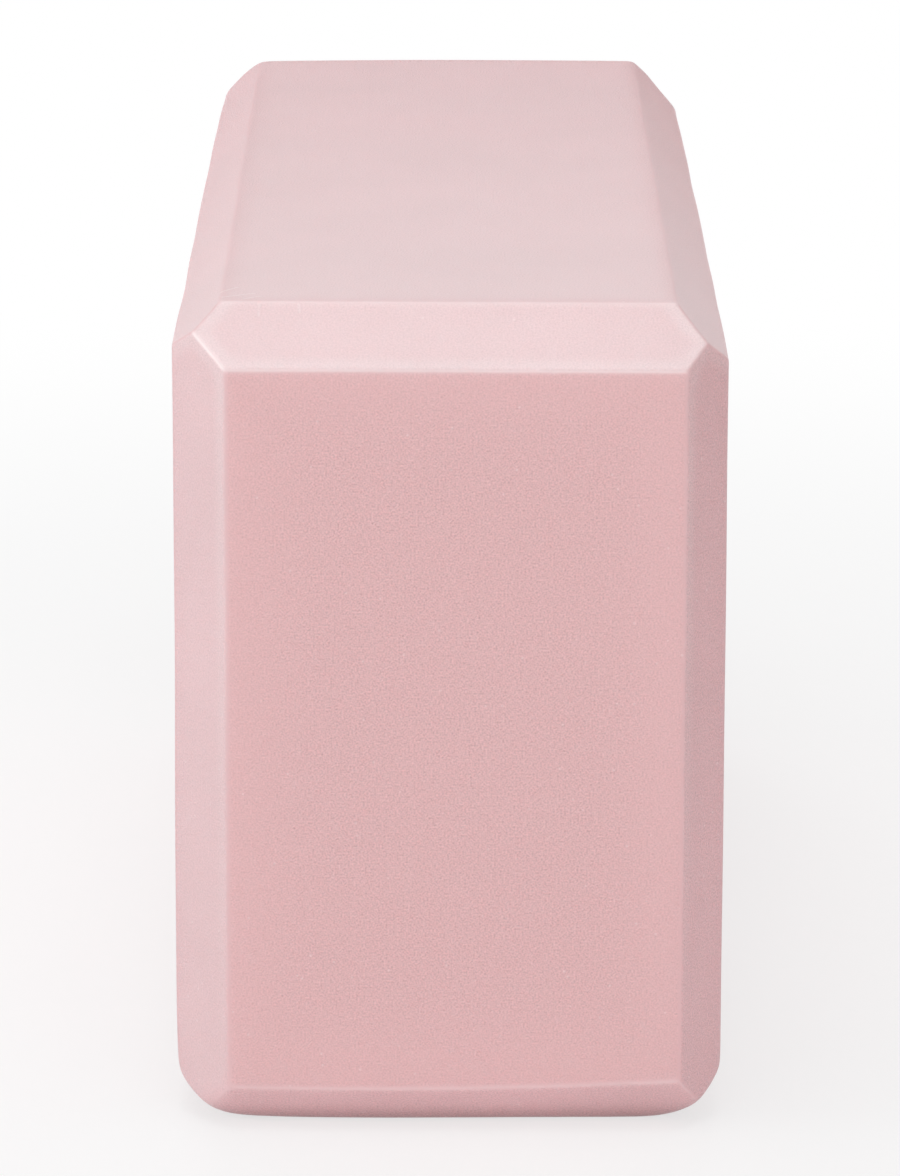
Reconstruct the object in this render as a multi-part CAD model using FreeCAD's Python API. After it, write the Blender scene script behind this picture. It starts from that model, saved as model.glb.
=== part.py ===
import FreeCAD, Part
import os

# A yoga block: one piece of firm closed-cell foam, sawn to a brick and bevelled
# along all twelve edges. There is nothing inside it and nothing on it moves.
# It stands on one of its two long narrow sides. The origin is the middle of that
# side, X runs across the block, Y along it and Z up. Sizes are in millimetres.

# Overall sizes
LENGTH = 228.6  # end to end, along Y
HEIGHT = 152.4  # from one long narrow side to the other, along Z
THICKNESS = 101.6  # between the two broad sides, along X

# Edges
BEVEL_LEG = 9.5  # how far a bevel cuts back each of the two sides that it joins
EDGE_ROUND = 1.5  # radius left wherever a bevel meets a side or another bevel

PARTS_FOLDER = "parts"

ACROSS = FreeCAD.Vector(1, 0, 0)
ALONG = FreeCAD.Vector(0, 1, 0)
UP = FreeCAD.Vector(0, 0, 1)
MIDDLE = UP * (HEIGHT / 2)


def bevelled_outline(first_axis, first_size, second_axis, second_size):
    """The face of the brick seen along one of its axes: a rectangle with its corners cut off."""
    first = first_size / 2
    second = second_size / 2
    quarter = [(first, second - BEVEL_LEG), (first - BEVEL_LEG, second)]
    right_half = [(a, -b) for a, b in reversed(quarter)] + quarter
    left_half = [(-a, -b) for a, b in right_half]
    corners = [first_axis * a + second_axis * b for a, b in right_half + left_half]
    return Part.makePolygon(corners + corners[:1])


def bevelled_pass(outline, axis, size):
    """The brick with the four edges along one axis bevelled, as one pass of the cutter leaves it."""
    start = MIDDLE - axis * (size / 2)
    outline.translate(start)
    return Part.Face(outline).extrude(axis * size)


def foam_block():
    """The brick that three passes of the bevel cutter leave, with mitred corners and eased edges."""
    long_edges = bevelled_pass(bevelled_outline(ACROSS, THICKNESS, UP, HEIGHT), ALONG, LENGTH)
    cross_edges = bevelled_pass(bevelled_outline(ALONG, LENGTH, UP, HEIGHT), ACROSS, THICKNESS)
    upright_edges = bevelled_pass(bevelled_outline(ACROSS, THICKNESS, ALONG, LENGTH), UP, HEIGHT)
    block = long_edges.common([cross_edges]).common([upright_edges]).removeSplitter()
    return block.makeFillet(EDGE_ROUND, block.Edges)


def main():
    """Writes the block's one solid."""
    os.makedirs(PARTS_FOLDER, exist_ok=True)
    block = foam_block().Solids[0]
    block.exportStep(os.path.join(PARTS_FOLDER, "foam_block.step"))
    print("foam_block", len(block.Faces), "faces", round(block.Volume / 1000, 1), "cm3", block.isValid())


main()
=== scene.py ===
"""Dresses a foam yoga block: one bevelled brick of firm pink foam that stands on a pale studio floor."""
import logging
import math
from dataclasses import dataclass, field
from enum import Enum
from typing import Mapping, Optional, Sequence, Union

import bpy
import numpy as np
from mathutils import Matrix, Vector


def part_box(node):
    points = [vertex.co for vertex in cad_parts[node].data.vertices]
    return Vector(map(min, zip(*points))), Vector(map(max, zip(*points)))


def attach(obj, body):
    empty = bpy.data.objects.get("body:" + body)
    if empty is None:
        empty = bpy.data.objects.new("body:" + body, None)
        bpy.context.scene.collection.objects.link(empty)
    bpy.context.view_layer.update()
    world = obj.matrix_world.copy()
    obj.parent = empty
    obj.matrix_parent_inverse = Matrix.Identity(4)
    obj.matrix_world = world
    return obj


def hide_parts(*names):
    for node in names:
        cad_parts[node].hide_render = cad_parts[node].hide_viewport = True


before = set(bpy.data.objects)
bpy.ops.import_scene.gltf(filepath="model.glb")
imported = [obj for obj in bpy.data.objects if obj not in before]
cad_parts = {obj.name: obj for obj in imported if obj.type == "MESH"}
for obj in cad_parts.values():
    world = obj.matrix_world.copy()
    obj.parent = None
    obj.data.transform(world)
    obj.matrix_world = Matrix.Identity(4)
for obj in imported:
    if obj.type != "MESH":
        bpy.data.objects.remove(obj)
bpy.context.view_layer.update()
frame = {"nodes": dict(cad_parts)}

GRAIN_PLACE = "grain_place"
NOISE_ROUGHNESS = 0.55
MM = 0.001
LOG = logging.getLogger("yoga_block")
Colour = tuple[float, float, float]
Place = tuple[float, float, float]


class Side(Enum):
    """One of the block's six flat sides, as an axis and the way the side faces along it."""

    LEFT = (0, -1)
    RIGHT = (0, 1)
    NEAR = (1, -1)
    FAR = (1, 1)
    BASE = (2, -1)
    TOP = (2, 1)

    @property
    def axis(self) -> int:
        """The axis that the side is square to."""
        return self.value[0]

    @property
    def normal(self) -> np.ndarray:
        """The side's outward normal."""
        return np.eye(3)[self.axis] * self.value[1]


class Trace(Enum):
    """A number kept at each vertex for the foam's finish to read."""

    RIM = "rim"
    SEAM = "seam"
    MARGIN = "margin"
    LIP = "lip"
    BURR = "burr"
    TONE = "tone"
    GLOSS = "gloss"
    BLOOM = "bloom"
    END = "end_grain"
    BEVEL = "bevel"
    CONTACT = "contact"


@dataclass(frozen=True)
class Rim:
    """How a flat changes towards its border.

    Attributes:
        rise: how far the border stands proud of the flat, or drops where it is negative.
        width: how far in from the border that reaches.
    """

    rise: float
    width: float


@dataclass(frozen=True)
class Cut:
    """How one bevel was cut.

    Attributes:
        legs: how far it cuts back its first and its second side, at the middle of its length.
        tilt: how much wider it is at its high end than at its middle.
        bow: how much wider it is at both ends than at its middle.
        scoop: how far it is hollowed, at the middle of its width.
        gloss: the share of the skin's gloss that it has.
        bloom: how far a painted highlight pales it and calms its cells.
        frame: how strongly a pale frame follows its end and its mitres, at the height of the top.
        high_end_shade: how far painted shade darkens its colour towards its high end.
    """

    legs: tuple[float, float]
    tilt: float = 0.0
    bow: float = 0.0
    scoop: float = 0.16 * MM
    gloss: float = 0.5
    bloom: float = 0.0
    frame: float = 1.0
    high_end_shade: float = 0.0


@dataclass(frozen=True)
class SoftCorner:
    """A corner that handling has rounded.

    Attributes:
        sides: the three sides that meet there.
        extra: what it adds to the softness of the edges.
        reach: how far from its middle that is felt.
        set_back: how far behind the end its middle lies, which keeps the end's own corner crisp.
    """

    sides: tuple[Side, Side, Side]
    extra: float
    reach: float
    set_back: float = 10.0 * MM


@dataclass(frozen=True)
class PaintedLine:
    """A thin painted line where two flats meet: a painted highlight where it is pale, painted shade where it
    is dark.

    Attributes:
        flats: the two flats, each given by the one side or the two sides that it faces.
        tone: above 0 for a painted highlight and below 0 for painted shade.
    """

    flats: tuple[tuple[Side, ...], tuple[Side, ...]]
    tone: float


@dataclass(frozen=True)
class Scratch:
    """A short pale mark on the skin.

    Attributes:
        start: one end.
        end: the other end.
        width: how far from its middle it fades out.
        core: the share of the width that is fully marked.
    """

    start: Place
    end: Place
    width: float = 0.45 * MM
    core: float = 0.2


class Signal:
    """A shader socket that can be added, subtracted and multiplied in a Python expression."""

    def __init__(self, graph: "Graph", socket: bpy.types.NodeSocket) -> None:
        """Wraps a node's output."""
        self.graph = graph
        self.socket = socket

    def _math(self, operation: str, first: "Term", second: "Term") -> "Signal":
        """The output of a new Math node."""
        return self.graph.add("ShaderNodeMath", {"operation": operation}, {0: first, 1: second})

    def __add__(self, other: "Term") -> "Signal":
        """The sum."""
        return self._math("ADD", self, other)

    def __radd__(self, other: "Term") -> "Signal":
        """The sum, with the number first."""
        return self._math("ADD", other, self)

    def __sub__(self, other: "Term") -> "Signal":
        """The difference."""
        return self._math("SUBTRACT", self, other)

    def __rsub__(self, other: "Term") -> "Signal":
        """The difference, with the number first."""
        return self._math("SUBTRACT", other, self)

    def __mul__(self, other: "Term") -> "Signal":
        """The product."""
        return self._math("MULTIPLY", self, other)

    def __rmul__(self, other: "Term") -> "Signal":
        """The product, with the number first."""
        return self._math("MULTIPLY", other, self)

    def at_least(self, other: "Term") -> "Signal":
        """The larger of the two."""
        return self._math("MAXIMUM", self, other)

    def step(self, start: float, end: float) -> "Signal":
        """A smooth step from 0 at start to 1 at end, which may be the smaller of the two."""
        sockets = {"Value": self, "From Min": start, "From Max": end}
        return self.graph.add("ShaderNodeMapRange", {"interpolation_type": "SMOOTHSTEP"}, sockets)


Term = Union[Signal, float]


class Graph:
    """A material's or the world's nodes, built from Python."""

    def __init__(self, tree: bpy.types.NodeTree) -> None:
        """Empties the tree."""
        self.tree = tree
        tree.nodes.clear()

    def add(
        self,
        kind: str,
        settings: Optional[Mapping[str, object]] = None,
        sockets: Optional[Mapping[Union[str, int], object]] = None,
        output: Union[str, int] = 0,
    ) -> Signal:
        """Adds one node.

        Args:
            kind: the node's type.
            settings: its properties, which are set first.
            sockets: the value or link of each input, by name or number.
            output: the output to return.

        Returns:
            The chosen output, or the first input of a node that has no outputs.
        """
        node = self.tree.nodes.new(kind)
        for name, value in (settings or {}).items():
            setattr(node, name, value)
        for key, value in (sockets or {}).items():
            if isinstance(value, Signal):
                self.tree.links.new(value.socket, node.inputs[key])
            else:
                node.inputs[key].default_value = value
        return Signal(self, node.outputs[output] if len(node.outputs) else node.inputs[0])

    def noise(self, place: Signal, scale: float, detail: float, flat: bool = False) -> Signal:
        """Smooth noise about 0, in features of one over scale metres."""
        sockets = {"Vector": place, "Scale": scale, "Detail": detail, "Roughness": NOISE_ROUGHNESS}
        return self.add("ShaderNodeTexNoise", {"noise_dimensions": "2D" if flat else "3D"}, sockets) - 0.5

    def dots(self, place: Signal, scale: float, edges: tuple[float, float], flat: bool = False) -> Signal:
        """Scattered dots at scale per metre, 0 outside the first edge and 1 inside the second."""
        settings = {"voronoi_dimensions": "2D" if flat else "3D"}
        return self.add("ShaderNodeTexVoronoi", settings, {"Vector": place, "Scale": scale}).step(*edges)

    def blend(self, amount: Term, first: Union[Signal, Colour], second: Union[Signal, Colour]) -> Signal:
        """The first colour where amount is 0 and the second where it is 1."""
        ends = [end if isinstance(end, Signal) else (*end, 1.0) for end in (first, second)]
        return self.add("ShaderNodeMix", {"data_type": "RGBA"}, {0: amount, 6: ends[0], 7: ends[1]}, 2)

    def scaled(self, first: Union[Signal, Vector], amount: Term) -> Signal:
        """A colour or a vector multiplied by a number."""
        return self.add("ShaderNodeVectorMath", {"operation": "SCALE"}, {0: first, "Scale": amount})

    def vector(self, operation: str, first: object, second: object, output: str = "Vector") -> Signal:
        """The output of a new Vector Math node."""
        return self.add("ShaderNodeVectorMath", {"operation": operation}, {0: first, 1: second}, output)

    def scratch(self, place: Signal, mark: Scratch) -> Signal:
        """1 on a scratch and 0 away from it, by the distance to the segment between its ends.

        Args:
            place: the place that is shaded.
            mark: the scratch.

        Returns:
            The amount of the mark.
        """
        run = Vector(mark.end) - Vector(mark.start)
        apart = self.vector("SUBTRACT", place, mark.start)
        share = self.vector("DOT_PRODUCT", apart, run / run.length_squared, "Value")
        share = self.add("ShaderNodeClamp", {}, {"Value": share})
        off = self.vector("DISTANCE", apart, self.scaled(run, share), "Value")
        return off.step(mark.width, mark.core * mark.width)

    def trace(self, name: Trace) -> Signal:
        """One of the numbers kept at each vertex."""
        return self.add("ShaderNodeAttribute", {"attribute_name": name.value}, output="Fac")

    def seen_directly(self) -> Signal:
        """Tells the rays that show the background from those that light a surface.

        Returns:
            1 for a ray from the camera, a gloss or a clear piece, and 0 for any other.
        """
        kinds = ("Is Camera Ray", "Is Glossy Ray", "Is Transmission Ray")
        camera, glossy, clear = [self.add("ShaderNodeLightPath", output=kind) for kind in kinds]
        return camera.at_least(glossy).at_least(clear)


@dataclass(frozen=True)
class FoamFinish:
    """Closed-cell foam: a matte pink with fine cells, which the cut ends show most.

    Attributes:
        end_colour: the cut ends.
        skin_colour: the sides and the bevels.
        painted_shade_colour: the painted shade on the skin by its edges, on the dark painted lines, towards
            some bevels' high ends and at the foot.
        pale_colour: the painted highlights on the burr and on the pale painted lines, the scratches and the
            specks.
        painted_highlight_colour: the skin under a painted highlight.
        frame_colour: the pale frame inside a bevel.
        cells_per_metre: how fine the cells are.
        pores_per_metre: how close the pores are.
        specks_per_metre: how close the pale specks are.
        mottles_per_metre: how fine the clouds in the colour are.
        pore_edges: where a pore starts and is full, in shares of the distance between two.
        speck_edges: the same for a speck.
        mottle_detail: how many finer layers the clouds have.
        streak_scale: how fine the streaks are along each axis.
        streak_detail: how many finer layers the streaks have.
        skin_open: how open the skin's cells are.
        end_open: how much more open a cut end's cells are.
        painted_highlight_closes: how far a painted highlight calms the cells.
        margin_closes: how far the margin of a cut end closes them.
        cell_tone: how far the cells change the tone.
        pore_tone: how far a pore darkens it.
        streak_tone: how far the streaks change it.
        margin_tone: how far the margin of a cut end lightens it.
        mottle_tone: how far the clouds change it on the skin.
        end_mottle_tone: how far they change it on a cut end.
        foot_shade_tone: how far painted shade darkens it at the foot.
        rim_shade_mix: how far painted shade turns the skin to the shade colour by its edges.
        rim_off_bevels: how much of that the bevels are spared.
        foot_shade_mix: how far painted shade turns the foot to the shade colour.
        frame_mix: how far a frame turns to its colour.
        scratch_mix: how far a scratch turns to the pale colour.
        speck_mix: how far a speck does.
        grain_height: how high the grain stands.
        grain_strength: the strength of its bump.
        pore_relief: how deep a pore is beside a cell.
        streak_relief: how high a streak is.
        scratch_relief: how high a scratch is.
        end_roughness: the roughness of the cut ends.
        skin_roughness: the roughness of the skin.
        mottle_roughness: how far the clouds change the roughness.
        cell_roughness: how far the cells change it.
        index: the index of refraction.
        skin_gloss: the weight of the skin's soft coat.
        rim_off_gloss: how much of the coat is lost by the edges of a side.
        gloss_roughness: the roughness of the coat.
        sheen: the weight of the sheen.
        sheen_roughness: its roughness.
        glow: how much light passes under the surface.
        glow_depth: how deep each colour goes.
        glow_scale: the length that those depths are shares of.
        scratches: the marks by the upper left corner.
    """

    end_colour: Colour = (0.700, 0.438, 0.446)
    skin_colour: Colour = (0.704, 0.437, 0.455)
    painted_shade_colour: Colour = (0.620, 0.340, 0.350)
    pale_colour: Colour = (0.830, 0.700, 0.705)
    painted_highlight_colour: Colour = (0.690, 0.560, 0.568)
    frame_colour: Colour = (0.745, 0.620, 0.628)
    cells_per_metre: float = 3000.0
    pores_per_metre: float = 1500.0
    specks_per_metre: float = 260.0
    mottles_per_metre: float = 34.0
    pore_edges: tuple[float, float] = (0.34, 0.08)
    speck_edges: tuple[float, float] = (0.08, 0.04)
    mottle_detail: float = 4.0
    streak_scale: Place = (14.0, 420.0, 420.0)
    streak_detail: float = 3.0
    skin_open: float = 0.95
    end_open: float = 0.03
    painted_highlight_closes: float = 0.95
    margin_closes: float = 0.38
    cell_tone: float = 0.34
    pore_tone: float = 0.035
    streak_tone: float = 0.012
    margin_tone: float = 0.022
    mottle_tone: float = 0.14
    end_mottle_tone: float = 0.02
    foot_shade_tone: float = 0.28
    rim_shade_mix: float = 0.38
    rim_off_bevels: float = 0.88
    foot_shade_mix: float = 0.55
    frame_mix: float = 0.45
    scratch_mix: float = 0.35
    speck_mix: float = 0.30
    grain_height: float = 0.16 * MM
    grain_strength: float = 0.7
    pore_relief: float = 0.4
    streak_relief: float = 0.12
    scratch_relief: float = 0.8
    end_roughness: float = 0.68
    skin_roughness: float = 0.44
    mottle_roughness: float = 0.10
    cell_roughness: float = 0.06
    index: float = 1.40
    skin_gloss: float = 0.72
    rim_off_gloss: float = 0.85
    gloss_roughness: float = 0.30
    sheen: float = 0.08
    sheen_roughness: float = 0.45
    glow: float = 0.18
    glow_depth: Place = (1.0, 0.45, 0.42)
    glow_scale: float = 2.2 * MM
    scratches: Sequence[Scratch] = (
        Scratch((-0.0332, -0.1045, 0.1521), (-0.0333, -0.1060, 0.1506)),
        Scratch((-0.0264, -0.1045, 0.1521), (-0.0262, -0.1056, 0.1510)),
        Scratch((-0.0403, -0.0975, 0.1524), (-0.0374, -0.0940, 0.1524)),
        Scratch((-0.0397, -0.1012, 0.1524), (-0.0343, -0.0982, 0.1524)),
        Scratch((-0.0363, -0.1026, 0.1524), (-0.0332, -0.1004, 0.1524)),
    )

    def material(self) -> bpy.types.Material:
        """Builds the material.

        Returns:
            A material that reads Object coordinates and the block's own traces.
        """
        made = bpy.data.materials.new("pink_foam")
        made.use_nodes = True
        graph = Graph(made.node_tree)
        place = graph.add("ShaderNodeTexCoord", output="Object")
        end = graph.trace(Trace.END)
        rim = graph.trace(Trace.RIM)
        margin = graph.trace(Trace.MARGIN)
        bevel = graph.trace(Trace.BEVEL)
        bloom = graph.trace(Trace.BLOOM)
        contact = graph.trace(Trace.CONTACT)
        tone = graph.trace(Trace.TONE)

        on_flat = graph.add("ShaderNodeAttribute", {"attribute_name": GRAIN_PLACE}, output="Vector")
        cells = graph.noise(on_flat, self.cells_per_metre, 0.0, True)
        pore = graph.dots(on_flat, self.pores_per_metre, self.pore_edges, True)
        speck = graph.dots(place, self.specks_per_metre, self.speck_edges)
        mottle = graph.noise(place, self.mottles_per_metre, self.mottle_detail)
        streak = graph.noise(graph.vector("MULTIPLY", place, self.streak_scale), 1.0, self.streak_detail)
        scratched = 0.0
        for mark in self.scratches:
            scratched = graph.scratch(place, mark) + scratched

        # Painted shade along the edges of the skin.
        painted_edge_shade = self.rim_shade_mix * rim * (1.0 - end) * (1.0 - self.rim_off_bevels * bevel)
        # A painted highlight on the burr, and the pale scratches.
        burr_highlight_and_scratches = graph.trace(Trace.BURR) + self.scratch_mix * scratched
        colour = graph.blend(end, self.skin_colour, self.end_colour)
        # Painted highlight: the most brightly lit bevels and the near end of the top are made paler.
        colour = graph.blend(bloom, colour, self.painted_highlight_colour)
        colour = graph.blend(painted_edge_shade, colour, self.painted_shade_colour)
        # Painted shade at the foot.
        colour = graph.blend(self.foot_shade_mix * contact, colour, self.painted_shade_colour)
        colour = graph.blend(self.frame_mix * graph.trace(Trace.LIP), colour, self.frame_colour)
        colour = graph.blend(burr_highlight_and_scratches, colour, self.pale_colour)
        # The tone trace paints a highlight where it is above 0 and shade where it is below.
        colour = graph.blend(tone.at_least(0.0), colour, self.pale_colour)
        colour = graph.blend((0.0 - tone).at_least(0.0), colour, self.painted_shade_colour)
        colour = graph.blend(self.speck_mix * speck, colour, self.pale_colour)

        openness = self.skin_open + self.end_open * end - self.painted_highlight_closes * bloom
        openness = (openness - self.margin_closes * end * margin) * (1.0 - graph.trace(Trace.SEAM))
        shade = 1.0 + openness * (self.cell_tone * cells - self.pore_tone * pore)
        shade = shade + self.streak_tone * streak + self.margin_tone * margin * end
        shade = shade + (self.mottle_tone + (self.end_mottle_tone - self.mottle_tone) * end) * mottle
        # Painted shade at the foot darkens the grain's tone.
        colour = graph.scaled(colour, shade - self.foot_shade_tone * contact)

        height = openness * (cells - self.pore_relief * pore)
        height = height + self.streak_relief * streak + self.scratch_relief * scratched
        relief = {"Strength": self.grain_strength, "Distance": self.grain_height, "Height": height}
        rough = self.skin_roughness + (self.end_roughness - self.skin_roughness) * end
        rough = rough + self.mottle_roughness * mottle + self.cell_roughness * cells
        gloss = self.skin_gloss * graph.trace(Trace.GLOSS) * (1.0 - self.rim_off_gloss * rim * (1.0 - bevel))
        surface = graph.add(
            "ShaderNodeBsdfPrincipled",
            {"subsurface_method": "RANDOM_WALK"},
            {
                "Base Color": colour,
                "Roughness": rough,
                "IOR": self.index,
                "Coat Weight": gloss,
                "Coat Roughness": self.gloss_roughness,
                "Sheen Weight": self.sheen,
                "Sheen Roughness": self.sheen_roughness,
                "Subsurface Weight": self.glow,
                "Subsurface Radius": self.glow_depth,
                "Subsurface Scale": self.glow_scale,
                "Normal": graph.add("ShaderNodeBump", {}, relief),
            },
        )
        graph.add("ShaderNodeOutputMaterial", {}, {"Surface": surface})
        return made


@dataclass
class FoamBlock:
    """The block: a brick with twelve bevels, softened edges and the unevenness of cut foam.

    The surface is where a soft maximum of the distances to all eighteen flats is zero, so that
    flats meet in rounded edges whose radius is about six times the softness.

    Attributes:
        low: the lowest corner of the CAD solid's box.
        high: its highest corner.
        draw_in: how much slimmer than that box the foam is, at each end of each axis.
        lean: how far each long side leans in at the top, and out at the base.
        usual_leg: how far a bevel with no cut of its own cuts back its sides.
        leg_spread: how far such a bevel may be off.
        own_cuts: how each of the other bevels was cut.
        softness: the softness of all the edges.
        base_softness: what is added to it at the base.
        base_reach: how far up that is felt.
        soft_corners: the corners that handling has rounded.
        painted_lines: the thin lines of painted highlight and painted shade where flats meet.
        painted_line_power: how thin those lines are.
        end_rim: how the two ends change towards their borders.
        side_rim: how the other four sides do.
        lip: how a bevel beside an end rises towards that end and its mitres.
        burr: the thin burr round a bevel that lies across an end.
        rim_unevenness: how far the slow waves change the rims.
        wave_count: how many sines make the slow waves.
        wave_lengths: the shortest and the longest of them.
        wave_height: how high the slow waves are.
        arch: how round the corners of a bevel's frame are.
        painted_near_end_sheen: how much a painted sheen pales the top towards its near end.
        side_gloss: the share of the skin's gloss that the sides have.
        rim_reach: how far from an edge the skin has painted shade and less gloss.
        seam_reach: how far from an edge the grain is calm.
        margin_reach: how far from its edges an end is calmer.
        frame_reach: how wide a bevel's pale frame is.
        burr_highlight_reach: how wide the painted highlight on a burr is.
        burr_highlight_clearance: the height from which that painted highlight is at its full strength.
        foot_shade_reach: how far up the painted shade at the foot reaches.
        core_margin: how far inside the box the rays start.
        border_steps: for each run of close grid lines, how far from the core it starts and their number.
        middle_step: how far apart the other grid lines are.
        rounds: how often Newton's method is repeated.
        seed: the seed of the random draws.
    """

    low: Vector
    high: Vector
    draw_in: Place = (1.8 * MM, 0.0, 0.0)
    lean: float = 0.5 * MM
    usual_leg: float = 9.2 * MM
    leg_spread: float = 0.25 * MM
    own_cuts: Mapping[tuple[Side, Side], Cut] = field(
        default_factory=lambda: {
            # The near-top and left-near bevels carry a painted highlight.
            (Side.NEAR, Side.TOP): Cut((9.7 * MM, 10.4 * MM), gloss=0.85, bloom=0.55),
            (Side.LEFT, Side.NEAR): Cut((9.5 * MM, 9.7 * MM), gloss=0.7, bloom=0.42, frame=0.85),
            # The right-near and right-top bevels carry painted shade towards their high ends.
            (Side.RIGHT, Side.NEAR): Cut((8.6 * MM, 7.7 * MM), gloss=0.12, frame=0.80, high_end_shade=0.30),
            (Side.NEAR, Side.BASE): Cut((8.8 * MM, 6.2 * MM), 0.7 * MM, 0.9 * MM, 0.0, 0.15, frame=0.0),
            (Side.LEFT, Side.TOP): Cut((7.0 * MM, 7.9 * MM), -0.5 * MM, gloss=0.1),
            (Side.RIGHT, Side.TOP): Cut((9.6 * MM, 9.2 * MM), gloss=0.0, high_end_shade=0.70),
            (Side.LEFT, Side.FAR): Cut((7.2 * MM, 7.2 * MM)),
            (Side.LEFT, Side.BASE): Cut((6.3 * MM, 7.2 * MM), scoop=-0.2 * MM),
            (Side.RIGHT, Side.BASE): Cut((9.2 * MM, 9.8 * MM), scoop=-1.2 * MM),
            (Side.FAR, Side.TOP): Cut((7.0 * MM, 5.8 * MM)),
        }
    )
    softness: float = 0.20 * MM
    base_softness: float = 0.45 * MM
    base_reach: float = 4.5 * MM
    soft_corners: Sequence[SoftCorner] = (
        SoftCorner((Side.RIGHT, Side.NEAR, Side.BASE), 0.5 * MM, 9 * MM, 7 * MM),
        SoftCorner((Side.LEFT, Side.NEAR, Side.BASE), 1.1 * MM, 12 * MM),
        SoftCorner((Side.LEFT, Side.FAR, Side.TOP), 0.6 * MM, 12 * MM),
        SoftCorner((Side.RIGHT, Side.FAR, Side.TOP), 0.3 * MM, 14 * MM),
        SoftCorner((Side.LEFT, Side.FAR, Side.BASE), 1.0 * MM, 14 * MM),
        SoftCorner((Side.RIGHT, Side.FAR, Side.BASE), 0.5 * MM, 14 * MM),
    )
    # Pale lines are painted highlights on the ridges and mitres; dark lines are painted shade.
    painted_lines: Sequence[PaintedLine] = (
        PaintedLine(((Side.NEAR, Side.TOP), (Side.LEFT, Side.NEAR)), 1.0),
        PaintedLine(((Side.NEAR, Side.TOP), (Side.LEFT, Side.TOP)), -0.50),
        PaintedLine(((Side.LEFT, Side.NEAR), (Side.LEFT, Side.TOP)), -0.40),
        PaintedLine(((Side.NEAR, Side.TOP), (Side.RIGHT, Side.TOP)), -0.45),
        PaintedLine(((Side.NEAR, Side.TOP), (Side.RIGHT, Side.NEAR)), -0.35),
        PaintedLine(((Side.RIGHT, Side.NEAR), (Side.RIGHT, Side.TOP)), -0.60),
        PaintedLine(((Side.NEAR, Side.BASE), (Side.NEAR,)), 0.12),
        PaintedLine(((Side.FAR, Side.TOP), (Side.LEFT, Side.FAR)), 0.40),
        PaintedLine(((Side.FAR, Side.TOP), (Side.RIGHT, Side.FAR)), -0.35),
    )
    painted_line_power: float = 1.5
    end_rim: Rim = Rim(-0.25 * MM, 1.25 * MM)
    side_rim: Rim = Rim(0.05 * MM, 1.5 * MM)
    lip: Rim = Rim(0.06 * MM, 2.2 * MM)
    burr: Rim = Rim(0.07 * MM, 0.5 * MM)
    rim_unevenness: float = 0.5
    wave_count: int = 14
    wave_lengths: tuple[float, float] = (26 * MM, 90 * MM)
    wave_height: float = 0.10 * MM
    arch: float = 0.8 * MM
    painted_near_end_sheen: float = 0.56
    side_gloss: float = 0.35
    rim_reach: float = 1.8 * MM
    seam_reach: float = 0.4 * MM
    margin_reach: float = 11.0 * MM
    frame_reach: float = 2.6 * MM
    burr_highlight_reach: float = 0.38 * MM
    burr_highlight_clearance: float = 20 * MM
    foot_shade_reach: float = 3.1 * MM
    core_margin: float = 15 * MM
    border_steps: Sequence[tuple[float, int]] = ((0.0, 3), (4.2 * MM, 19), (8.2 * MM, 11), (11.0 * MM, 14))
    middle_step: float = 4.5 * MM
    rounds: int = 12
    seed: int = 46

    def __post_init__(self) -> None:
        """Works out the flats and the slow waves of the foam."""
        span = np.array(self.high) - np.array(self.low)
        self.half = span / 2 - np.array(self.draw_in)
        self.middle = (np.array(self.high) + np.array(self.low)) / 2
        self.random = np.random.default_rng(self.seed)
        self._lay_out_flats()
        directions = self.random.normal(size=(self.wave_count, 3))
        directions /= np.linalg.norm(directions, axis=1, keepdims=True)
        lengths = self.random.uniform(*self.wave_lengths, size=(self.wave_count, 1))
        self.waves = directions * (2 * math.pi / lengths)
        self.phases = self.random.uniform(0, 2 * math.pi, self.wave_count)

    def _lay_out_flats(self) -> None:
        """Sets the normal, distance, shape, finish and rim of each side and then of each bevel.

        A bevel runs from the line that its first leg leaves on its first side to the line that its
        second leg leaves on its second side.
        """
        sides = list(Side)
        pairs = [(a, b) for a in sides for b in sides if a.axis < b.axis]
        cuts = [self.own_cuts.get(pair) or self._usual_cut() for pair in pairs]
        flats = [(side,) for side in sides] + pairs
        self.index = {flat: number for number, flat in enumerate(flats)}
        self.bevels = np.array([len(flat) == 2 for flat in flats])
        self.ends = np.array([flat[0].axis == Side.NEAR.axis and len(flat) == 1 for flat in flats])
        axes = [{side.axis for side in flat} for flat in flats]
        self.framed = self.bevels & np.array([Side.NEAR.axis in found for found in axes])
        self.crosswise = self.framed & np.array([Side.LEFT.axis not in found for found in axes])
        self.upper = ~self.framed & np.array([Side.TOP in flat for flat in flats])

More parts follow.
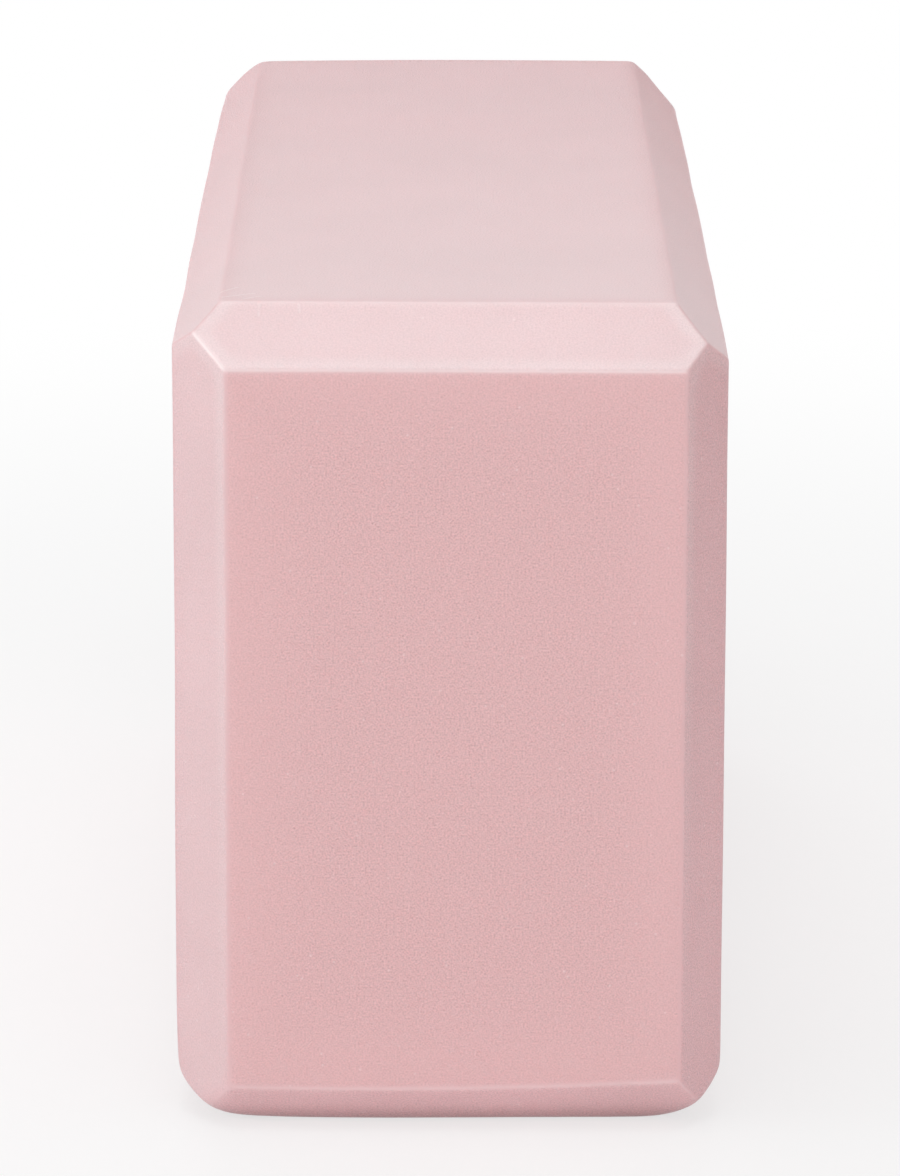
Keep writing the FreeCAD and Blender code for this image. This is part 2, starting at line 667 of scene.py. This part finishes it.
        legs = np.array([cut.legs for cut in cuts])
        widths = np.linalg.norm(legs, axis=1, keepdims=True)
        share = legs / widths
        first = np.array([a.normal for a, _ in pairs])
        second = np.array([b.normal for _, b in pairs])
        halves = np.array([(self.half[a.axis], self.half[b.axis]) for a, b in pairs])
        none = [0.0] * len(sides)
        bevel_normals = first * share[:, :1] + second * share[:, 1:]
        self.normals = np.concatenate([[side.normal for side in sides], bevel_normals])
        bevel_reach = (share * halves).sum(axis=1) - share[:, 1] * legs[:, 0]
        self.reach = np.concatenate([[self.half[side.axis] for side in sides], bevel_reach])
        self.cross = np.concatenate([np.zeros((len(sides), 3)), first * share[:, 1:] - second * share[:, :1]])
        across = halves - legs[:, ::-1] / 2
        self.centre = np.concatenate([none, across[:, 0] * share[:, 1] - across[:, 1] * share[:, 0]])
        self.half_width = np.concatenate([[1.0] * len(sides), widths[:, 0] / 2])
        self.along = np.array([side.axis for side in sides] + [3 - a.axis - b.axis for a, b in pairs])
        turn = math.sqrt(0.5)
        self.tilt = np.array(none + [cut.tilt * turn for cut in cuts])
        self.bow = np.array(none + [cut.bow * turn for cut in cuts])
        self.high_end_shade = np.array(none + [cut.high_end_shade for cut in cuts])
        self.scoop = np.array(none + [cut.scoop for cut in cuts])
        self.gloss = np.array([self.side_gloss] * len(sides) + [cut.gloss for cut in cuts]) * ~self.ends
        self.bloom = np.array(none + [cut.bloom for cut in cuts])
        self.frame = np.array(none + [cut.frame for cut in cuts]) * self.framed
        rims = [self.end_rim if end else self.side_rim for end in self.ends[: len(sides)]]
        rims += [self.burr if cross else Rim(0.0, self.burr.width) for cross in self.crosswise[len(sides) :]]
        self.rim_rise = np.array([rim.rise for rim in rims])
        self.rim_width = np.array([rim.width for rim in rims])

    def _usual_cut(self) -> Cut:
        """A cut for a bevel that has none of its own, a little off the usual one."""
        leg, tilt, bow = self.random.uniform(-1, 1, 3) * self.leg_spread
        return Cut((self.usual_leg + leg, self.usual_leg + leg), tilt, bow)

    def _softness_at(self, points: np.ndarray) -> np.ndarray:
        """Finds how soft the edges are: the usual softness, and extra near the base and each soft corner.

        The extra dies away as exp of minus the square of the distance over the reach.

        Args:
            points: places measured from the block's middle.

        Returns:
            The softness at each point.
        """
        height = points[:, 2] + self.half[2]
        total = self.softness + self.base_softness * np.exp(-((height / self.base_reach) ** 2))
        for corner in self.soft_corners:
            tip = sum(side.normal for side in corner.sides)
            tip = tip * (self.half - np.array([0.0, corner.set_back, 0.0]))
            apart = ((points - tip) ** 2).sum(axis=1)
            total += corner.extra * np.exp(-apart / corner.reach**2)
        return total

    def _waves_at(self, points: np.ndarray) -> np.ndarray:
        """Slow unevenness between about -1 and 1: a sum of sines that run in all directions."""
        return np.sin(points @ self.waves.T + self.phases).sum(axis=1) / math.sqrt(self.wave_count / 2) / 2

    def measure(self, points: np.ndarray) -> tuple[np.ndarray, np.ndarray, np.ndarray, np.ndarray]:
        """Finds how far points lie outside the foam.

        The distance is k times the log of the sum of exp(d / k), over the distances d to the flats,
        with k the softness. The left and right sides lean in towards the top, so the width is first
        evened out. A bevel is hollowed by a parabola across it, cut off at its own width from its
        middle. The slow waves and the rims are then taken off the distance. A rim dies away with the gap
        between the two nearest flats, and is weighted by how near each flat is. The lip that a
        bevel has beside an end dies away from that end and from the mitres, in an arch: that gap is a soft
        minimum of the two.

        Args:
            points: places measured from the block's middle, one per row.

        Returns:
            The distance at each point, the share of each flat in it, the gap from the nearest edge
            and the gap from a bevel's end and mitres.
        """
        points = points.copy()
        points[:, 0] *= 1 + self.lean * points[:, 2] / (self.half[0] * self.half[2])
        share_along = points[:, self.along] / self.half[self.along]
        share_across = (points @ self.cross.T - self.centre) / self.half_width
        flats = points @ self.normals.T - self.reach + self.tilt * share_along + self.bow * share_along**2
        flats += self.scoop * (1 - np.minimum(share_across**2, 4))
        soft = self._softness_at(points)[:, None]
        nearest = flats.max(axis=1, keepdims=True)
        parts = np.exp((flats - nearest) / soft)
        total = parts.sum(axis=1, keepdims=True)
        weights = parts / total
        gap = (nearest[:, 0] - np.partition(flats, -2, axis=1)[:, -2]) / math.sqrt(0.5)
        end_gap = (nearest[:, 0] - flats[:, self.ends].max(axis=1)) / math.sqrt(0.5)
        mitre_gap = (nearest[:, 0] - np.partition(flats[:, self.bevels], -2, axis=1)[:, -2]) / math.sqrt(0.75)
        frame_gap = -self.arch * np.logaddexp(-end_gap / self.arch, -mitre_gap / self.arch)
        waves = self._waves_at(points)
        rims = (weights * self.rim_rise * np.exp(-gap[:, None] / self.rim_width)).sum(axis=1)
        lips = self.lip.rise * np.exp(-np.maximum(frame_gap, 0) / self.lip.width)
        rims += weights[:, self.framed].sum(axis=1) * lips
        distance = (nearest + soft * np.log(total))[:, 0]
        distance -= rims * (1 + self.rim_unevenness * waves) + self.wave_height * waves
        return distance, weights, gap, frame_gap

    def _painted_lines_at(self, weights: np.ndarray) -> np.ndarray:
        """Adds up the thin painted lines of highlight and shade: each is strongest where its two flats have
        equal shares.

        Args:
            weights: the share of each flat in each point.

        Returns:
            The lines' tone at each point.
        """
        total = np.zeros(len(weights))
        for painted_line in self.painted_lines:
            one, other = [weights[:, self.index[flat]] for flat in painted_line.flats]
            total += painted_line.tone * (4 * one * other) ** self.painted_line_power
        return total

    def _traces_at(self, points: np.ndarray) -> tuple[dict[Trace, np.ndarray], np.ndarray]:
        """Works out what the finish reads at each point.

        Most traces die away as exp of minus a power of a gap over its reach, and are weighted by the
        shares of the flats that have them. A bevel's frame grows with the height, the painted highlight on
        a burr fades towards the foot, painted shade on a bevel grows with the square of the way to its
        high end, and a painted sheen pales the top towards its near end.

        Args:
            points: places on the foam, measured from the block's middle.

        Returns:
            The numbers of each trace, and the share of each flat in each point.
        """
        _, weights, gap, frame_gap = self.measure(points)
        height = points[:, 2] + self.half[2]
        rise = height / (2 * self.half[2])
        clear = np.clip(height / self.burr_highlight_clearance, 0, 1)
        nearness = (1 - points[:, 1] / self.half[1]) / 2
        high = (1 + points[:, self.along] / self.half[self.along]) / 2
        crosswise = weights[:, self.crosswise].sum(axis=1)
        upper = weights[:, self.upper].sum(axis=1)
        traces = {
            # Painted shade and less gloss by the edges.
            Trace.RIM: np.exp(-gap / self.rim_reach),
            Trace.SEAM: np.exp(-((gap / self.seam_reach) ** 2)),
            Trace.MARGIN: np.exp(-((gap / self.margin_reach) ** 2)),
            Trace.LIP: weights @ self.frame * rise * np.exp(-((frame_gap / self.frame_reach) ** 4)),
            # A painted highlight on the burr, fading towards the foot.
            Trace.BURR: crosswise * clear * np.exp(-gap / self.burr_highlight_reach),
            # The painted lines' highlight and shade, and painted shade towards some bevels' high ends.
            Trace.TONE: self._painted_lines_at(weights) - (weights * self.high_end_shade * high**2).sum(axis=1),
            Trace.GLOSS: weights @ self.gloss,
            # Painted highlight on the brightest bevels, and a painted sheen on the top towards its near end.
            Trace.BLOOM: weights @ self.bloom + self.painted_near_end_sheen * upper * nearness,
            Trace.END: weights[:, self.ends].sum(axis=1),
            Trace.BEVEL: weights[:, self.bevels].sum(axis=1),
            # Painted shade at the foot.
            Trace.CONTACT: np.exp(-((height / self.foot_shade_reach) ** 2)),
        }
        return traces, weights

    def _grain_places(self, points: np.ndarray, weights: np.ndarray) -> np.ndarray:
        """Places for the cells: how far each point lies along two axes in the plane of its nearest flat.

        Args:
            points: places measured from the block's middle.
            weights: the share of each flat in each point.

        Returns:
            Two lengths and a zero for each point.
        """
        normal = self.normals[weights.argmax(axis=1)]
        across = np.cross(normal, np.eye(3)[np.abs(normal).argmin(axis=1)])
        across /= np.linalg.norm(across, axis=1, keepdims=True)
        up = np.cross(normal, across)
        lengths = [(points * axis).sum(axis=1) for axis in (across, up)]
        return np.stack([*lengths, np.zeros(len(points))], axis=1)

    def _lines(self, half: float) -> np.ndarray:
        """Lays out grid lines along one axis, close together where a side meets its bevels.

        Args:
            half: half the box's size along that axis.

        Returns:
            The lines' places, from low to high.
        """
        starts = [start for start, _ in self.border_steps] + [self.core_margin]
        runs = [
            np.linspace(start, end, count, endpoint=False)
            for (start, count), end in zip(self.border_steps, starts[1:])
        ]
        border = half - self.core_margin + np.append(np.concatenate(runs), self.core_margin)
        count = max(2, round(2 * border[0] / self.middle_step))
        inner = np.linspace(-border[0], border[0], count + 1)
        return np.concatenate([-border[::-1], inner[1:-1], border])

    def _box_grid(self) -> tuple[np.ndarray, np.ndarray]:
        """A closed grid on the box round the block: a patch of two parameters on each side.

        Returns:
            The points, from the block's middle, and the four corners of each face, all facing out.
        """
        lines = [self._lines(half) for half in self.half]
        points = []
        faces = []
        start = 0
        for side in Side:
            across = (side.axis + 1) % 3
            up = (side.axis + 2) % 3
            u, v = np.meshgrid(lines[across], lines[up], indexing="ij")
            patch = np.empty((u.size, 3))
            patch[:, side.axis] = self.half[side.axis] * side.value[1]
            patch[:, across] = u.ravel()
            patch[:, up] = v.ravel()
            index = start + np.arange(u.size).reshape(u.shape)
            ring = [index[:-1, :-1], index[1:, :-1], index[1:, 1:], index[:-1, 1:]]
            faces.append(np.stack(ring[:: side.value[1]], axis=-1).reshape(-1, 4))
            points.append(patch)
            start += u.size
        points = np.concatenate(points)
        _, first, merged = np.unique(np.round(points, 7), axis=0, return_index=True, return_inverse=True)
        return points[first], merged.reshape(-1)[np.concatenate(faces)]

    def _settle(self, box: np.ndarray) -> np.ndarray:
        """Moves the box's points onto the foam.

        Each point runs on a straight ray from the nearest point of an inner core box, and Newton's
        method finds where the distance along that ray is zero.

        Args:
            box: points on the box round the block.

        Returns:
            Points on the foam, still measured from the block's middle.
        """
        core = np.clip(box, self.core_margin - self.half, self.half - self.core_margin)
        rays = box - core
        travel = np.linalg.norm(rays, axis=1, keepdims=True)
        rays /= travel
        facing = rays @ self.normals.T
        for _ in range(self.rounds):
            distance, weights, _, _ = self.measure(core + rays * travel)
            travel -= (distance / (weights * facing).sum(axis=1))[:, None]
        return core + rays * travel

    def build(self) -> bpy.types.Object:
        """Makes the block's mesh, with its traces.

        Returns:
            A closed, smooth-shaded mesh object at the origin, flat where it rests on the floor.
        """
        box, faces = self._box_grid()
        points = self._settle(box)
        traces, weights = self._traces_at(points)
        places = points + self.middle
        places[:, 2] = np.maximum(places[:, 2], self.low[2])
        mesh = bpy.data.meshes.new("yoga_block")
        mesh.vertices.add(len(places))
        mesh.vertices.foreach_set("co", places.ravel())
        mesh.loops.add(faces.size)
        mesh.loops.foreach_set("vertex_index", faces.ravel())
        mesh.polygons.add(len(faces))
        mesh.polygons.foreach_set("loop_start", np.arange(0, faces.size, 4))
        mesh.update(calc_edges=True)
        mesh.validate()
        mesh.shade_smooth()
        for trace, values in traces.items():
            layer = mesh.attributes.new(trace.value, "FLOAT", "POINT")
            layer.data.foreach_set("value", values)
        layer = mesh.attributes.new(GRAIN_PLACE, "FLOAT_VECTOR", "POINT")
        layer.data.foreach_set("vector", self._grain_places(points, weights).ravel())
        made = bpy.data.objects.new("yoga_block", mesh)
        bpy.context.collection.objects.link(made)
        return made

    def dress(self, piece: bpy.types.Object, finish: FoamFinish) -> None:
        """Gives the block its finish, hides the CAD part that it replaces and hangs it on the root body.

        Args:
            piece: the block's mesh object.
            finish: what it is made of.
        """
        piece.data.materials.append(finish.material())
        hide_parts("foam_block")
        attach(piece, "root")


@dataclass(frozen=True)
class FloorFinish:
    """A pale floor that fades to the white of the backdrop away from the block.

    Attributes:
        colour: the floor as the light meets it.
        white: the backdrop's white.
        near_white: the share of that white in what is seen near the block.
        fade: how far from the block the fade starts and ends.
    """

    colour: Colour = (0.91, 0.91, 0.91)
    white: Colour = (1.0, 1.0, 1.0)
    near_white: float = 0.66
    fade: tuple[float, float] = (0.16, 0.50)

    def material(self) -> bpy.types.Material:
        """Builds the material.

        Returns:
            A matte floor for the light, and more and more plain white where it is seen directly.
        """
        made = bpy.data.materials.new("pale_floor")
        made.use_nodes = True
        graph = Graph(made.node_tree)
        place = graph.add("ShaderNodeTexCoord", output="Object")
        apart = graph.add("ShaderNodeVectorMath", {"operation": "LENGTH"}, {0: place}, "Value")
        white = graph.seen_directly() * (self.near_white + (1 - self.near_white) * apart.step(*self.fade))
        matte = graph.add("ShaderNodeBsdfDiffuse", {}, {"Color": (*self.colour, 1.0)})
        plain = graph.add("ShaderNodeEmission", {}, {"Color": (*self.white, 1.0), "Strength": 1.0})
        surface = graph.add("ShaderNodeMixShader", {}, {0: white, 1: matte, 2: plain})
        graph.add("ShaderNodeOutputMaterial", {}, {"Surface": surface})
        return made


def look_at(stand: Place, aim: Place) -> Matrix:
    """The matrix of a lamp or a camera that stands at one point and faces another."""
    turn = (Vector(aim) - Vector(stand)).to_track_quat("-Z", "Y")
    return Matrix.Translation(stand) @ turn.to_matrix().to_4x4()


@dataclass(frozen=True)
class Softbox:
    """A large square lamp with a soft edge to its light.

    Attributes:
        name: what the lamp is for.
        stand: where it is.
        size: the length of its side.
        watts: its power.
        aim: the point that it faces.
    """

    name: str
    stand: Place
    size: float
    watts: float
    aim: Place = (0.0, 0.0, 0.08)

    def build(self) -> None:
        """Adds the lamp to the scene."""
        lamp = bpy.data.lights.new(self.name, "AREA")
        lamp.shape = "SQUARE"
        lamp.size = self.size
        lamp.energy = self.watts
        made = bpy.data.objects.new(self.name, lamp)
        made.matrix_world = look_at(self.stand, self.aim)
        bpy.context.collection.objects.link(made)


@dataclass
class Studio:
    """The floor, the light and the camera.

    Attributes:
        floor_half: half the floor's length and width.
        ambient: the strength of the even light from all round.
        lamps: the softboxes.
        camera_stand: where the camera is.
        camera_aim: the point at the middle of its picture.
        camera_roll: how far it is turned about its own axis.
        lens_mm: its focal length.
        sensor_mm: the size of its sensor.
    """

    floor_half: float = 12.0
    ambient: float = 0.48
    lamps: Sequence[Softbox] = (
        Softbox("overhead", (-0.02, -0.17, 0.62), 0.26, 0.76, (0.0, -0.1, 0.15)),
        Softbox("back", (-0.15, 0.90, 1.20), 1.0, 4.2),
        Softbox("left", (-1.30, -0.20, 0.35), 0.7, 5.0),
        Softbox("front", (0.0, -1.70, 0.20), 0.6, 11.2),
        Softbox("far_left", (-1.00, 1.10, 0.10), 0.7, 1.5),
        Softbox("far_right", (1.15, 0.92, 0.10), 0.7, 3.3),
    )
    camera_stand: Place = (-0.0011, -0.9272, 0.3601)
    camera_aim: Place = (0.0000, -0.1143, 0.10356)
    camera_roll: float = math.radians(-0.176)
    lens_mm: float = 149.4
    sensor_mm: float = 36.0

    def build_floor(self, finish: FloorFinish) -> bpy.types.Object:
        """Makes the floor as one flat square.

        Args:
            finish: what the floor is made of.

        Returns:
            The floor.
        """
        half = self.floor_half
        corners = [(-half, -half, 0.0), (half, -half, 0.0), (half, half, 0.0), (-half, half, 0.0)]
        mesh = bpy.data.meshes.new("floor")
        mesh.from_pydata(corners, [], [(0, 1, 2, 3)])
        mesh.materials.append(finish.material())
        made = bpy.data.objects.new("floor", mesh)
        bpy.context.collection.objects.link(made)
        return made

    def light(self) -> None:
        """Adds the lamps and an even white world, which is plain white where it is seen directly."""
        for lamp in self.lamps:
            lamp.build()
        world = bpy.data.worlds.new("studio")
        world.use_nodes = True
        bpy.context.scene.world = world
        graph = Graph(world.node_tree)
        strength = self.ambient + (1.0 - self.ambient) * graph.seen_directly()
        sky = graph.add("ShaderNodeBackground", {}, {"Color": (1.0, 1.0, 1.0, 1.0), "Strength": strength})
        graph.add("ShaderNodeOutputWorld", {}, {"Surface": sky})

    def place_camera(self) -> None:
        """Stands the camera in front of the near end, a little above the block, and looks down at it."""
        camera = bpy.data.cameras.new("camera")
        camera.lens = self.lens_mm
        camera.sensor_width = self.sensor_mm
        made = bpy.data.objects.new("camera", camera)
        roll = Matrix.Rotation(-self.camera_roll, 4, "Z")
        made.matrix_world = look_at(self.camera_stand, self.camera_aim) @ roll
        bpy.context.collection.objects.link(made)
        bpy.context.scene.camera = made


def main() -> None:
    """Builds the block and the studio round it."""
    logging.basicConfig(level=logging.INFO, format="%(name)s: %(message)s")
    bpy.context.scene.view_settings.view_transform = "Standard"

    block = FoamBlock(*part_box("foam_block"))
    piece = block.build()
    block.dress(piece, FoamFinish())
    LOG.info("%s has %d faces", piece.name, len(piece.data.polygons))

    studio = Studio()
    floor = studio.build_floor(FloorFinish())
    LOG.info("%s is stage", floor.name)
    studio.light()
    studio.place_camera()


if __name__ == "__main__":
    main()
